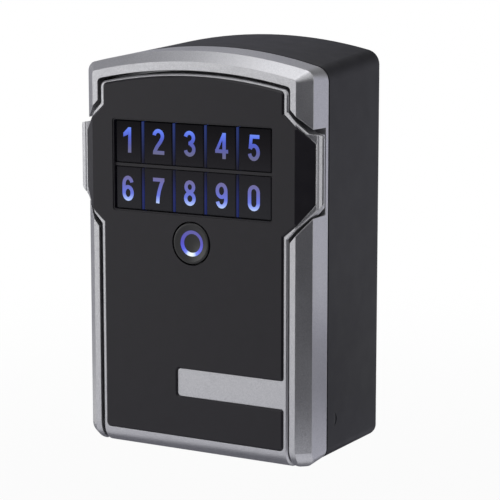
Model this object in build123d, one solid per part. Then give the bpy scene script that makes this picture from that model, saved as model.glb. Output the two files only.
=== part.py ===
from build123d import *
import math
import os

# A wall key box with a keypad door, in millimetres.
# While modelling, x is across (0 in the middle), y runs from the door's front face (0) back to the
# wall, and z runs up from the lower edge of the case. save() moves every piece to the frame of the
# finished part, whose origin is the middle of the four wall holes, on the wall plane.

# Overall sizes
wall_y = 55.0
mount_height = 64.0
seam_y = 13.35
seam_half_width = 41.5
seam_top = 127.0
seam_arch = 145.0
seam_low = -1.9
rear_half_width = 39.05
rear_top = 129.1
rear_arch = 161.0
rear_low = -3.0
case_wall = 2.9
case_corner = 5.0
case_foot = 3.6
rear_round = 3.0
hollow_corner = 3.0
seam_groove = 0.55
wall_hole_spacing_x = 40.0
wall_hole_spacing_z = 60.0
wall_hole_radius = 2.75
wall_pad_radius = 7.0
wall_pad_height = 1.4

# Front frame: a flat strip beside the door, a chamfer, then the side
strip_y = 0.4
strip_half_width = 37.15
strip_top = 122.9
ridge_y = 4.2
ridge_half_width = 41.2
ridge_top = 126.1
frame_arch = 165.0
opening_half_width = 35.2
opening_top = 120.2
flange_y = 11.8
ledge_back = 14.8
ledge_half_width = 31.8
ledge_low = 5.5
ledge_high = 112.6
foot_z = -3.15
leg_foot_z = -3.35
leg_foot_corner = 2.0

# Door: the black face stands a little proud of the silver rim, and both have bevelled edges
rim_half_width = 34.4
rim_top = 119.2
rim_front = 0.6
rim_bevel = 0.55
door_arch = 160.0
face_half_width = 33.0
face_top = 118.4
face_low = 2.7
face_bevel = 0.55
panel_back = 2.2
plate_back = 4.0
bezel_back = 10.6
bend_half_width = 37.05
wing_half_width = 42.0
wing_y = 4.35
wing_slope = wing_y / (wing_half_width - bend_half_width)
wing_corners = [
    (face_half_width, 70.4),
    (bend_half_width, 73.8),
    (wing_half_width, 80.5),
    (wing_half_width, 99.2),
    (bend_half_width, 104.4),
    (face_half_width, 108.1),
]
wing_middle = 90.0

# The ears outside the wings, and the room for them in the frame, both seen from the front
ear_half_width = 44.5
ear_step = (40.2, 102.2)
ear_points = [
    (30.0, 64.9),
    (ear_half_width, 80.8),
    (ear_half_width, 101.6),
    ear_step,
    (30.0, 113.4),
]
ear_corner = 1.1
ear_bevel = 0.4
ear_lip_x = 42.3
ear_lip_y = 4.5
ear_lip_thickness = 1.4
ear_groove = 0.4
notch_points = [
    (34.9, 68.3),
    (37.15, 71.0),
    (41.2, 76.2),
    (46.0, 82.4),
    (46.0, 103.4),
    (41.2, 103.5),
    (34.9, 109.9),
]
bezel_wall = 2.0
fit_gap = 0.06

# Hinge at the door's lower edge
hinge_y = 5.0
hinge_z = 2.6
foot_radius = 7.0
corner_foot_radius = 6.0
nose_radius = 6.3
barrel_radius = math.hypot(rim_front + nose_radius - hinge_y, foot_z - hinge_z)
barrel_high = 8.0
pin_radius = 1.5
hinge_clearance = 0.06
stop_inner = 2.2
stop_outer = 3.7
stop_half_angle = 12.0
stop_turn = stop_half_angle + 2.5
door_swing = 100.0

# Keypad: two rows of five keys, and the round button
key_pitch = 11.6
window_half_width = 29.0
window_low = 74.9
window_high = 103.7
row_bar = 1.0
key_gap_z = 0.25
key_gap_x = 0.55
rib_width = 0.7
rib_shift = 1.1
rib_front = 0.95
key_front = 0.8
key_back = 2.8
flange_reach = 0.55
button_z = 65.8
button_radius = 6.6
button_hole_radius = 7.05
light_outer = 4.15
light_inner = 3.0
board_front = 6.4
board_back = 7.8
stem_radius = 1.5
stem_end = 4.8

# Label strip, bare metal of the door seen through a notch in the black face
label_left = -5.6
label_low = 16.0
label_high = 25.1
label_corner = 1.1
label_mouth = 0.8

# Latch: bolt with a rack, pinion on a geared motor
bolt_left = -4.0
bolt_right = 10.0
bolt_front = 16.75
bolt_back = 20.75
bolt_low = 72.0
bolt_high = 109.0
gear_module = 0.7
gear_teeth = 12
gear_y = 13.0
gear_z = 84.0
gear_backlash = 0.14
rack_addendum = 0.45
shaft_radius = 1.5
pinion_left = -3.2
pinion_right = 1.8

# Inner cover of the door, with the battery box
cover_half_width = 31.2
cover_low = 11.3
cover_high = 110.8
cover_front = 8.6
cover_back = 23.2
cover_wall = 1.6
battery_radius = 8.5
battery_length = 34.5
battery_x = -1.0
battery_y = 17.6
battery_z = 26.0
box_left = -23.0
box_right = 21.0
box_low = 13.5
box_high = 38.5
box_back = 27.0
box_front = 7.4
lid_thickness = 1.5

# Jump contacts in the barrel's underside
jump_pad_x = (-6.35, 6.35)
jump_pad_y = 6.7
jump_pad_low = foot_z + 0.7
jump_pad_high = foot_z + 2.3

# Screws
small_screw = 1.25
small_head = 2.25
board_screw = 0.8
thread_gap = 0.03
post_radius = 2.2
frame_screw_seat = 24.0
frame_boss_back = 22.0
frame_boss_radius = 2.8
tower_radius = 3.5
frame_screw_places = [(-35.0, 14.0), (35.0, 14.0), (-35.0, 111.0), (35.0, 111.0)]
cover_screw_places = [(-26.5, 42.0), (26.5, 42.0), (-26.5, 106.9), (26.5, 106.9)]
board_screw_places = [(-17.0, 59.5), (17.0, 59.5), (-17.0, 106.9), (17.0, 106.9)]
strike_screw_places = [(-7.2, 117.6), (13.2, 117.6)]

button_column_x = [(column - 2) * key_pitch for column in range(5)]
rib_x = [(gap - 1.5) * key_pitch - rib_shift for gap in range(4)]
key_edge_x = [-window_half_width, *rib_x, window_half_width]
row_height = (window_high - window_low - row_bar) / 2
key_height = row_height - 2 * key_gap_z
upper_row_z = window_high - row_height / 2
lower_row_z = window_low + row_height / 2
bar_low = window_low + row_height
pitch_radius = gear_module * gear_teeth / 2


def block(x0, x1, y0, y1, z0, z1):
    centre = Pos((x0 + x1) / 2, (y0 + y1) / 2, (z0 + z1) / 2)
    return centre * Box(x1 - x0, y1 - y0, z1 - z0)


def rod_y(radius, y0, y1, x, z):
    return Pos(x, (y0 + y1) / 2, z) * Rot(90, 0, 0) * Cylinder(radius, y1 - y0)


def rod_x(radius, x0, x1, y, z):
    return Pos((x0 + x1) / 2, y, z) * Rot(0, 90, 0) * Cylinder(radius, x1 - x0)


def slab(outline, y0, y1):
    """An outline drawn as seen from the front, running from depth y0 back to y1."""
    return extrude(Plane.XZ.offset(-y0) * outline, amount=y0 - y1)


def prism_z(points, z0, z1):
    """A closed section in x and y, standing from z0 to z1."""
    return extrude(Plane.XY.offset(z0) * make_face(Polyline(*points, close=True)), amount=z1 - z0)


def prism_x(section, x0, x1):
    """A section drawn in y and z, running across from x0 to x1."""
    return extrude(Plane.YZ.offset(x0) * section, amount=x1 - x0)


def rounded(x0, x1, z0, z1, radius):
    return Pos((x0 + x1) / 2, (z0 + z1) / 2) * RectangleRounded(x1 - x0, z1 - z0, radius)


def arched(half_width, top, arch_radius, bottom, corner=0.0, foot=0.0):
    """A front outline with straight sides, a flat bottom and a shallow arch on top."""
    spring = top - arch_radius + math.sqrt(arch_radius**2 - half_width**2)
    right = Line((half_width, bottom), (half_width, spring))
    arch = ThreePointArc((half_width, spring), (0, top), (-half_width, spring))
    left = Line((-half_width, spring), (-half_width, bottom))
    base = Line((-half_width, bottom), (half_width, bottom))
    outline = make_face([right, arch, left, base])
    ordered = outline.vertices().sort_by(Axis.Y)
    if corner > 0:
        outline = fillet(ordered[2:], corner)
    if foot > 0:
        outline = fillet(outline.vertices().sort_by(Axis.Y)[:2], foot)
    return outline


def mirrored(points):
    return [(-x, y) for x, y in reversed(points)]


def panel_outline(grow=0.0):
    """The black face seen from the front, with its two wings and the notch for the label strip."""
    spring = face_top - door_arch + math.sqrt(door_arch**2 - face_half_width**2)
    side = [(face_half_width + grow, face_low - grow)]
    for x, z in wing_corners:
        away = -1 if z < wing_middle else 1
        side.append((x + grow, z + away * grow / 2))
    side.append((face_half_width + grow, spring + grow))
    other = mirrored(side)
    arch = ThreePointArc(side[-1], (0, face_top + grow), other[0])
    base = Line(other[-1], side[0])
    outline = make_face([Polyline(*side), arch, Polyline(*other), base])
    ordered = outline.vertices().sort_by(Axis.Y)
    outline = fillet(ordered[:2] + ordered[-2:], 1.4)
    label_end = face_half_width + 6.0
    outline -= rounded(label_left + grow, label_end, label_low + grow, label_high - grow, label_corner)
    mouth = outline.vertices().filter_by_position(Axis.X, face_half_width - 0.1, face_half_width + 0.2)
    mouth = mouth.filter_by_position(Axis.Y, label_low - 0.5, label_high + 0.5)
    return fillet(mouth, label_mouth)


def wing_section(front, back, lift):
    """Flat across the face and sloping back over the wings. It is drawn in x and y.

    The lift moves the back away from the front, for a pocket with room behind the face.
    """
    thickness = 1.15
    reach = wing_half_width + 1.0
    end = wing_slope * (reach - bend_half_width)
    back_x = reach - (end + thickness - back) / wing_slope
    right = [
        (bend_half_width, front),
        (reach, end + front),
        (reach, end + thickness + lift),
        (back_x, back + lift),
    ]
    return mirrored(right) + right


def save(shape, node):
    shape = Pos(0, -wall_y, -mount_height) * shape
    export_step(shape, "parts/" + node + ".step")


def case_outline(half_width, top, arch_radius, bottom, inset=0.0):
    """The case's outline, or the same drawn in by the wall's thickness for the hollow."""
    corner = hollow_corner if inset else case_corner
    foot = hollow_corner / 2 if inset else case_foot
    return arched(half_width - inset, top - inset, arch_radius, bottom + inset, corner, foot)


def rear_case():
    seam = (seam_half_width, seam_top, seam_arch, seam_low)
    rear = (rear_half_width, rear_top, rear_arch, rear_low)
    inner_y = wall_y - case_wall
    outer_front = Plane.XZ.offset(-seam_y) * case_outline(*seam)
    outer_back = Plane.XZ.offset(-wall_y) * case_outline(*rear)
    outer = loft([outer_front, outer_back], ruled=True)
    outer = fillet(outer.faces().sort_by(Axis.Y)[-1].edges(), rear_round)
    hollow_front = Plane.XZ.offset(-seam_y) * case_outline(*seam, case_wall)
    hollow_back = Plane.XZ.offset(-inner_y) * case_outline(*rear, case_wall)
    shell = outer - loft([hollow_front, hollow_back], ruled=True)
    for x, z in frame_screw_places:
        shell += outer & rod_y(tower_radius, frame_boss_back + 0.2, inner_y + 0.5, x, z)
    for x in (-wall_hole_spacing_x / 2, wall_hole_spacing_x / 2):
        for z in (mount_height - wall_hole_spacing_z / 2, mount_height + wall_hole_spacing_z / 2):
            shell += rod_y(wall_pad_radius, inner_y - wall_pad_height, inner_y + 0.5, x, z)
            shell -= rod_y(wall_hole_radius, inner_y - 2, wall_y + 1, x, z)
    for x, z in frame_screw_places:
        shell -= rod_y(small_screw + 0.15, seam_y, wall_y, x, z)
        shell -= rod_y(small_head + 0.2, frame_screw_seat, wall_y + 1, x, z)
    around = arched(60.0, 160.0, 300.0, -20.0)
    lip_size = (seam_half_width - seam_groove, seam_top - seam_groove, seam_arch, seam_low + seam_groove)
    lip = arched(*lip_size, case_corner - seam_groove, case_foot - seam_groove)
    shell -= slab(around, seam_y - 1, seam_y + 0.7) - slab(lip, seam_y - 1, seam_y + 0.7)
    return shell - gate_mark()


def gate_mark():
    """A shallow dimple low on the right side, deeper towards the wall, so its edge shows as a crescent."""
    return Pos(41.15, 19.0, 10.0) * Rot(0, 0, 9) * rod_x(2.0, 0.0, 2.0, 0.0, 0.0)


def rounded_foot(front, radius):
    """What may stay behind a front plane in y and z, with a rounded foot."""
    mid = radius * math.sqrt(0.5)
    start = (front, foot_z + radius)
    low = (front + radius, foot_z)
    arc = ThreePointArc(start, (low[0] - mid, start[1] - mid), low)
    behind = [(90.0, foot_z), (90.0, 140.0)]
    rest = Polyline(low, *behind, (front, 140.0), start)
    return prism_x(make_face([arc, rest]), -90.0, 90.0)


def corner_foot(side):
    """The same rounded foot for the chamfer of one leg, whose plane stands slanting."""
    angle = math.atan2(ridge_y - strip_y, ridge_half_width - strip_half_width)
    turned = Rot(0, 0, side * math.degrees(angle)) * rounded_foot(-0.02, corner_foot_radius)
    return Pos(side * strip_half_width, strip_y, 0) * turned


def leg_corner(side):
    """What the rounding takes from the lower inner corner of one leg."""
    inner = opening_half_width
    outer = inner + leg_foot_corner
    mid = leg_foot_corner * math.sqrt(0.5)
    start = (side * outer, foot_z)
    end = (side * inner, foot_z + leg_foot_corner)
    arc = ThreePointArc(start, (side * (outer - mid), end[1] - mid), end)
    free = inner - 1.0
    below = foot_z - 1.0
    rest = Polyline(end, (side * free, end[1]), (side * free, below), (side * outer, below), start)
    return slab(make_face([arc, rest]), -2.0, flange_y)


def sector(first, last):
    """A pie slice about the hinge, angles in degrees up from straight back."""
    steps = 12
    reach = 9.0
    points = [(hinge_y, hinge_z)]
    for step in range(steps + 1):
        angle = math.radians(first + (last - first) * step / steps)
        points.append((hinge_y + reach * math.cos(angle), hinge_z + reach * math.sin(angle)))
    return make_face(Polyline(*points, close=True))


def stop_pocket(side):
    """The pocket in a leg that the door's stop tab turns in. It ends the swing."""
    room = 0.15
    ring = rod_x(stop_outer + room, 34.0, 37.0, hinge_y, hinge_z)
    ring -= rod_x(stop_inner - room, 33.0, 38.0, hinge_y, hinge_z)
    free = prism_x(sector(-stop_turn, door_swing + stop_turn), 33.0, 38.0)
    pocket = ring & free
    return pocket if side > 0 else mirror(pocket, about=Plane.YZ)


def ear_notch(side):
    """The room in a leg for the door's ear."""
    outline = make_face(Polyline(*notch_points, close=True))
    return slab(outline if side > 0 else mirror(outline, about=Plane.YZ), -2.0, flange_y)


def front_frame():
    seam = arched(seam_half_width, seam_top, seam_arch, seam_low, case_corner, case_foot)
    ridge = arched(ridge_half_width, ridge_top, frame_arch, leg_foot_z, 3.2, 4.4)
    strip = arched(strip_half_width, strip_top, frame_arch, leg_foot_z, 1.2, 2.4)
    seam_section = Plane.XZ.offset(-seam_y) * seam
    ridge_section = Plane.XZ.offset(-ridge_y) * ridge
    strip_section = Plane.XZ.offset(-strip_y) * strip
    side_part = loft([seam_section, ridge_section], ruled=True)
    frame = side_part + loft([ridge_section, strip_section], ruled=True)
    frame &= rounded_foot(strip_y, foot_radius)
    frame &= corner_foot(1) & corner_foot(-1)
    fit = case_wall + 0.3
    flange_size = (seam_half_width - fit, seam_top - fit - 0.1, seam_arch, seam_low + fit)
    frame += slab(arched(*flange_size, hollow_corner, 1.5), flange_y, ledge_back)
    frame -= slab(arched(opening_half_width, opening_top, frame_arch, -10.0, 1.5), -2.0, flange_y)
    hole = rounded(-ledge_half_width, ledge_half_width, ledge_low, ledge_high, 3.0)
    frame -= slab(hole, 0.0, 20.0)
    for side in (-1, 1):
        ends = sorted((side * 34.0, side * 40.0))
        frame -= ear_notch(side)
        frame -= leg_corner(side)
        frame -= rod_x(pin_radius + 0.02, ends[0], ends[1], hinge_y, hinge_z)
        frame -= stop_pocket(side)
    for x, z in frame_screw_places:
        frame += rod_y(frame_boss_radius, ledge_back - 0.5, frame_boss_back, x, z)
        frame -= rod_y(small_screw + thread_gap, flange_y + 1.2, frame_boss_back + 1, x, z)
    for x, z in strike_screw_places:
        frame -= rod_y(small_screw + thread_gap, flange_y + 0.5, 20.0, x, z)
    return frame


def screw(x, z, head_y, length, direction):
    """A pan-head screw along y. direction is -1 when its tip points to the front."""
    seat = head_y
    tip = seat + direction * length
    top = seat - direction * 1.7
    body = rod_y(small_screw, min(seat, tip), max(seat, tip), x, z)
    head = rod_y(small_head, min(seat, top), max(seat, top), x, z)
    outer_edge = head.edges().filter_by(GeomType.CIRCLE).sort_by(Axis.Y)
    head = fillet(outer_edge[-1] if direction < 0 else outer_edge[0], 0.6)
    recess = sorted((top, top + direction * 0.7))
    slot = block(x - 0.3, x + 0.3, recess[0], recess[1], z - 1.5, z + 1.5)
    cross = block(x - 1.5, x + 1.5, recess[0], recess[1], z - 0.3, z + 0.3)
    return body + head - slot - cross


def frame_screws():
    screws = [screw(x, z, frame_screw_seat, 10.5, -1) for x, z in frame_screw_places]
    return Compound(children=screws)


def strike_plate():
    plate = block(-10.2, 16.2, ledge_back, ledge_back + 1.2, ledge_high + 0.2, 122.4)
    plate = chamfer(plate.edges().filter_by(Axis.Y), 1.2)
    for x, z in strike_screw_places:
        plate -= rod_y(small_screw + 0.1, 14.0, 17.0, x, z)
    return plate


def strike_screws():
    return Compound(children=[screw(x, z, ledge_back + 1.2, 3.4, -1) for x, z in strike_screw_places])


def hinge_pins():
    pins = []
    for side in (-1, 1):
        ends = sorted((side * 26.0, side * 39.8))
        pin = rod_x(pin_radius, ends[0], ends[1], hinge_y, hinge_z)
        pins.append(chamfer(pin.edges().filter_by(GeomType.CIRCLE), 0.3))
    return Compound(children=pins)


def door_seal():
    outer = arched(rim_half_width + 0.3, rim_top + 0.2, door_arch, 8.4, 1.6, 1.0)
    inner = arched(rim_half_width - 2.2, rim_top - 2.4, door_arch, 10.8, 1.0, 0.6)
    return slab(outer, bezel_back + 0.3, flange_y) - slab(inner, 0.0, 20.0)


def barrel_section():
    """The door's lower edge in y and z: a round nose, round again behind about the hinge."""
    mid = nose_radius * math.sqrt(0.5)
    start = (rim_front, foot_z + nose_radius)
    low = (rim_front + nose_radius, foot_z)
    nose = ThreePointArc(start, (low[0] - mid, start[1] - mid), low)
    turn = math.atan2(low[1] - hinge_z, low[0] - hinge_y)
    half = (hinge_y + barrel_radius * math.cos(turn / 2), hinge_z + barrel_radius * math.sin(turn / 2))
    heel_point = (hinge_y + barrel_radius, hinge_z)
    heel = ThreePointArc(low, half, heel_point)
    rest = Polyline(heel_point, (heel_point[0], barrel_high), (rim_front, barrel_high), start)
    return make_face([nose, heel, rest])


def barrel():
    """The door's lower edge, its ends bevelled in front like the rim's sides."""
    body = prism_x(barrel_section(), -rim_half_width, rim_half_width)
    ends = body.edges().filter_by_position(Axis.Y, rim_front - 0.01, rim_front + nose_radius)
    return chamfer(ends.filter_by(Axis.X, reverse=True), rim_bevel)


def ear():
    """The right ear: it follows the wing's slope behind the face and ends in a thin flat lip."""
    outline = make_face(Polyline(*ear_points, close=True))
    outline = fillet(outline.vertices().sort_by(Axis.X)[-2:], ear_corner)
    bend = bend_half_width - 0.1
    slope = (ear_lip_y - rim_front) / (ear_lip_x - bend)
    lip_back = ear_lip_y + ear_lip_thickness
    tip = ear_half_width - 0.4
    section = [
        (29.0, rim_front),
        (bend, rim_front),
        (ear_lip_x, ear_lip_y),
        (tip, ear_lip_y + 0.1),
        (ear_half_width, ear_lip_y + 0.5),
        (ear_half_width, lip_back - 0.4),
        (tip, lip_back),
        (ear_lip_x + 1.0, lip_back + 0.2),
        (ear_lip_x + 0.8, lip_back + 2.2),
        (rim_half_width, lip_back + 2.9),
        (29.0, bezel_back),
    ]
    solid = slab(outline, -1.0, bezel_back) & prism_z(section, 60.0, 120.0)
    slanting = solid.edges().filter_by(Axis.Z, reverse=True).filter_by(Axis.Y, reverse=True)
    bevelled = []
    for edge in slanting:
        middle = edge.center()
        surface_y = rim_front + max(0.0, slope * (middle.X - bend))
        if abs(middle.Y - surface_y) < 0.01 and middle.X < ear_step[0]:
            bevelled.append(edge)
    groove = [
        (ear_lip_x + 0.1, ear_lip_y - 0.2),
        (ear_lip_x + 0.9, ear_lip_y - 0.2),
        (ear_lip_x + 0.5, ear_lip_y + ear_groove),
    ]
    return chamfer(bevelled, ear_bevel) - prism_z(groove, 60.0, 120.0)


def door_bezel():
    front = arched(rim_half_width, rim_top, door_arch, face_low + 1.5, 2.2)
    body = slab(front, rim_front, bezel_back)
    rim_edges = body.edges().group_by(Axis.Y)[0].filter_by_position(Axis.Z, 0.0, rim_top - 4.0)
    body = chamfer(rim_edges, rim_bevel)
    body += ear() + mirror(ear(), about=Plane.YZ)
    body += barrel()
    pocket_section = prism_z(wing_section(-5.0, panel_back, fit_gap), 0.0, 125.0)
    body -= slab(panel_outline(fit_gap), -3.0, 9.0) & pocket_section
    inside = rim_half_width - bezel_wall
    hollow = arched(inside, rim_top - bezel_wall, door_arch, 11.0, 1.0, 1.0)
    body -= slab(hollow, plate_back, 20.0)
    key_room = rounded(-29.7, 29.7, window_low - 0.9, window_high + 0.9, 1.0)
    body -= slab(key_room, 1.0, 5.0)
    body -= rod_y(button_hole_radius + 0.8, 1.0, 5.0, 0.0, button_z)
    for x, z in cover_screw_places:
        body += rod_y(post_radius, plate_back - 0.5, cover_back - cover_wall - 0.2, x, z)
        body -= rod_y(small_screw + thread_gap, 14.0, 22.0, x, z)
    for x, z in board_screw_places:
        body += rod_y(1.9, plate_back - 0.5, board_front, x, z)
        body -= rod_y(board_screw + thread_gap, plate_back - 0.2, board_front + 1, x, z)
    for side in (-1, 1):
        ends = sorted((side * 25.6, side * 36.0))
        body -= rod_x(pin_radius + hinge_clearance, ends[0], ends[1], hinge_y, hinge_z)
        tab_ends = sorted((side * (rim_half_width - 0.2), side * (rim_half_width + 2.2)))
        tab = rod_x(stop_outer, tab_ends[0], tab_ends[1], hinge_y, hinge_z)
        tab -= rod_x(stop_inner, -50.0, 50.0, hinge_y, hinge_z)
        body += tab & prism_x(sector(-stop_half_angle, stop_half_angle), -50.0, 50.0)
    body -= block(-11.2, 11.2, 4.2, 9.2, foot_z - 2, foot_z + 2.6)
    return body


def bevelled_panel():
    """The bare face plate. Its flat front is bevelled but for the lower edge above the barrel."""
    section = prism_z(wing_section(0.0, panel_back, 0.0), 0.0, 125.0)
    panel = slab(panel_outline(), -1.0, 9.0) & section
    above_barrel = panel.edges().filter_by_position(Axis.Z, face_low + 3.0, face_top)
    flat = above_barrel.filter_by_position(Axis.Y, -0.01, 0.01)
    bends = flat.filter_by_position(Axis.X, bend_half_width - 0.1, bend_half_width + 0.1)
    bends += flat.filter_by_position(Axis.X, -bend_half_width - 0.1, -bend_half_width + 0.1)
    return chamfer([edge for edge in flat if edge not in bends], face_bevel)


def face_panel():
    panel = bevelled_panel()
    half = window_half_width
    panel -= slab(rounded(-half, half, window_low, window_high, 0.6), -1.0, 5.0)
    edge = 0.45
    step = rounded(-half - edge, half + edge, window_low - edge, window_high + edge, 0.9)
    panel -= slab(step, -1.0, 0.3)
    panel += block(-half - 0.2, half + 0.2, 0.95, panel_back, bar_low, bar_low + row_bar)
    return panel - rod_y(button_hole_radius, -1.0, 5.0, 0.0, button_z)


def keypad_light_guide():
    guide_half_width = window_half_width - 0.4
    plate = rounded(-guide_half_width, guide_half_width, window_low + 0.3, window_high - 0.3, 1.0)
    guide = slab(plate, 4.1, 5.2)
    half = rib_width / 2
    for x in rib_x:
        guide += block(x - half, x + half, rib_front, 4.2, window_low + 0.4, bar_low - 0.3)
        guide += block(x - half, x + half, rib_front, 4.2, bar_low + row_bar + 0.3, window_high - 0.4)
    for x in button_column_x:
        for z in (upper_row_z, lower_row_z):
            guide -= rod_y(stem_radius + 0.25, 3.0, 6.0, x, z)
    return guide


def key(column, z):
    """A key that fills its column from one rib, or window edge, to the next."""
    left = key_edge_x[column] + key_gap_x
    right = key_edge_x[column + 1] - key_gap_x
    half_z = key_height / 2
    reach = half_z + flange_reach
    cap = block(left, right, key_front, key_back, z - half_z, z + half_z)
    cap = chamfer(cap.faces().sort_by(Axis.Y)[0].edges(), 0.25)
    flange = block(left, right, key_back - 0.35, key_back + 0.3, z - reach, z + reach)
    return cap + flange + rod_y(stem_radius, key_back, stem_end, button_column_x[column], z)


def dish(deepest_y):
    """The ball that hollows the button's front down to a depth."""
    dish_radius = 16.0
    return Pos(0, deepest_y - dish_radius, button_z) * Sphere(dish_radius)


def unlock_button():
    cap = rod_y(button_radius, -0.2, 3.0, 0.0, button_z)
    cap = fillet(cap.edges().filter_by(GeomType.CIRCLE).sort_by(Axis.Y)[0], 0.5)
    cap += rod_y(button_radius + 0.9, 2.45, 3.1, 0.0, button_z)
    cap -= dish(0.9)
    cap += rod_y(stem_radius, 3.0, stem_end, 0.0, button_z)
    groove = rod_y(light_outer, -1.0, 2.2, 0.0, button_z)
    groove -= rod_y(light_inner, -2.0, 3.0, 0.0, button_z)
    return cap - groove


def button_light_ring():
    ring = rod_y(light_outer - 0.02, 0.0, 2.2, 0.0, button_z)
    ring -= rod_y(light_inner + 0.02, -1.0, 3.0, 0.0, button_z)
    return ring - dish(0.85)


def circuit_board():
    board = slab(rounded(-26.0, 26.0, 56.0, 108.6, 1.0), board_front, board_back)
    for x, z in cover_screw_places[2:]:
        board -= block(x - 2.5, x + 2.5, 5.0, 9.0, z - 2.5, z + 5)
    for x, z in board_screw_places:
        board -= rod_y(1.05, 5.0, 9.0, x, z)
    return board


def key_switches():
    places = [(x, z) for x in button_column_x for z in (upper_row_z, lower_row_z)]
    places.append((0.0, button_z))
    standing = (Align.CENTER, Align.CENTER, Align.MIN)
    dome = Rot(90, 0, 0) * Cone(2.3, 1.5, 0.7, align=standing)
    return Compound(children=[Pos(x, board_front, z) * dome for x, z in places])


def light_emitters():
    from_edge = 2.6
    places = [(x, window_high - from_edge) for x in button_column_x]
    places += [(x, window_low + from_edge) for x in button_column_x]
    places.append((0.0, button_z - 3.6))
    front = board_front - 0.8
    return Compound(children=[block(x - 1, x + 1, front, board_front, z - 0.6, z + 0.6) for x, z in places])


def board_screws():
    screws = []
    for x, z in board_screw_places:
        shank = rod_y(board_screw, 4.2, board_back, x, z)
        head = rod_y(1.7, board_back, board_back + 0.9, x, z)
        slot = block(x - 1.2, x + 1.2, board_back + 0.5, board_back + 2, z - 0.25, z + 0.25)
        screws.append(shank + head - slot)
    return Compound(children=screws)


def latch_motor():
    can = rod_x(6.0, -28.5, -13.6, gear_y, gear_z) & block(-30, 0, gear_y - 5.0, gear_y + 5.0, 70, 98)
    can += rod_x(2.2, -29.2, -28.4, gear_y, gear_z)
    return can


def motor_gearbox():
    box = block(-13.6, -4.5, gear_y - 5.0, gear_y + 5.0, gear_z - 6.0, gear_z + 6.0)
    box = chamfer(box.edges().filter_by(Axis.X), 0.8)
    return box - rod_x(shaft_radius + 0.06, -12.0, -4.0, gear_y, gear_z)


def involute(angle):
    return math.tan(angle) - angle


def pinion_outline():
    """Involute teeth, one of them pointing straight back at the rack. It is drawn in y and z."""
    pressure = math.radians(20.0)
    base = pitch_radius * math.cos(pressure)
    tip = pitch_radius + gear_module
    root = pitch_radius - 1.25 * gear_module
    half_tooth = (math.pi * gear_module / 2 - gear_backlash) / (2 * pitch_radius)
    radii = [root, base + 0.01, pitch_radius, (pitch_radius + tip) / 2, tip]
    flank = []
    for radius in radii:
        slope = math.acos(min(1.0, base / radius))
        flank.append((radius, half_tooth + involute(pressure) - involute(slope)))
    points = []
    for tooth in range(gear_teeth):
        middle = 2 * math.pi * tooth / gear_teeth
        turns = [(r, middle - a) for r, a in flank] + [(r, middle + a) for r, a in reversed(flank)]
        points += [(gear_y + r * math.cos(a), gear_z + r * math.sin(a)) for r, a in turns]
    return make_face(Polyline(*points, close=True))


def drive_pinion():
    pinion = prism_x(pinion_outline(), pinion_left, pinion_right)
    return pinion - rod_x(shaft_radius, -20.0, 20.0, gear_y, gear_z)


def output_shaft():
    shaft = rod_x(shaft_radius - 0.01, -11.8, 2.4, gear_y, gear_z)
    return chamfer(shaft.edges().filter_by(GeomType.CIRCLE), 0.25)


def latch_bolt():
    bolt = block(bolt_left, bolt_right, bolt_front, bolt_back, bolt_low, bolt_high)
    bolt = chamfer(bolt.faces().sort_by(Axis.Z)[-1].edges(), 0.8)
    pitch = math.pi * gear_module
    pitch_y = gear_y + pitch_radius
    floor_y = pitch_y + gear_module + 0.25
    lean = math.tan(math.radians(20.0))
    half_gap = (pitch + 2 * gear_backlash) / 4 + gear_backlash / 4
    for step in range(-5, 4):
        z = gear_z + step * pitch
        wide = half_gap + lean * (rack_addendum + 0.3)
        narrow = half_gap - lean * (floor_y - pitch_y)
        gap = make_face(Polyline(
            (bolt_front - 0.3, z - wide), (floor_y, z - narrow),
            (floor_y, z + narrow), (bolt_front - 0.3, z + wide), close=True))
        bolt -= prism_x(gap, pinion_left - 0.3, pinion_right + 0.3)
    return bolt


def latch_guide():
    left = bolt_left - 0.15
    right = bolt_right + 0.15
    wall = 1.8
    back = 21.5
    low = 70.0
    high = 108.6
    bridge_front = 15.4
    guide = block(left - wall, right + wall, bolt_back + 0.12, back, low, high)
    guide += block(left - wall, left, bolt_front, 21.0, low, high)
    guide += block(right, right + wall, bolt_front, 21.0, low, high)
    guide += block(left - wall, right + wall, bolt_front, back, low, bolt_low - 0.1)
    for bridge_low, bridge_high in ((100.0, 106.0), (71.6, 76.0)):
        guide += block(left - wall, right + wall, bridge_front, bolt_front - 0.15, bridge_low, bridge_high)
        guide += block(left - wall, left, bridge_front, 17.0, bridge_low, bridge_high)
        guide += block(right, right + wall, bridge_front, 17.0, bridge_low, bridge_high)
    gearbox_room = block(-14.0, left + 0.01, gear_y - 6, gear_y + 5.2, gear_z - 6.3, gear_z + 6.3)
    return guide - gearbox_room


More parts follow.
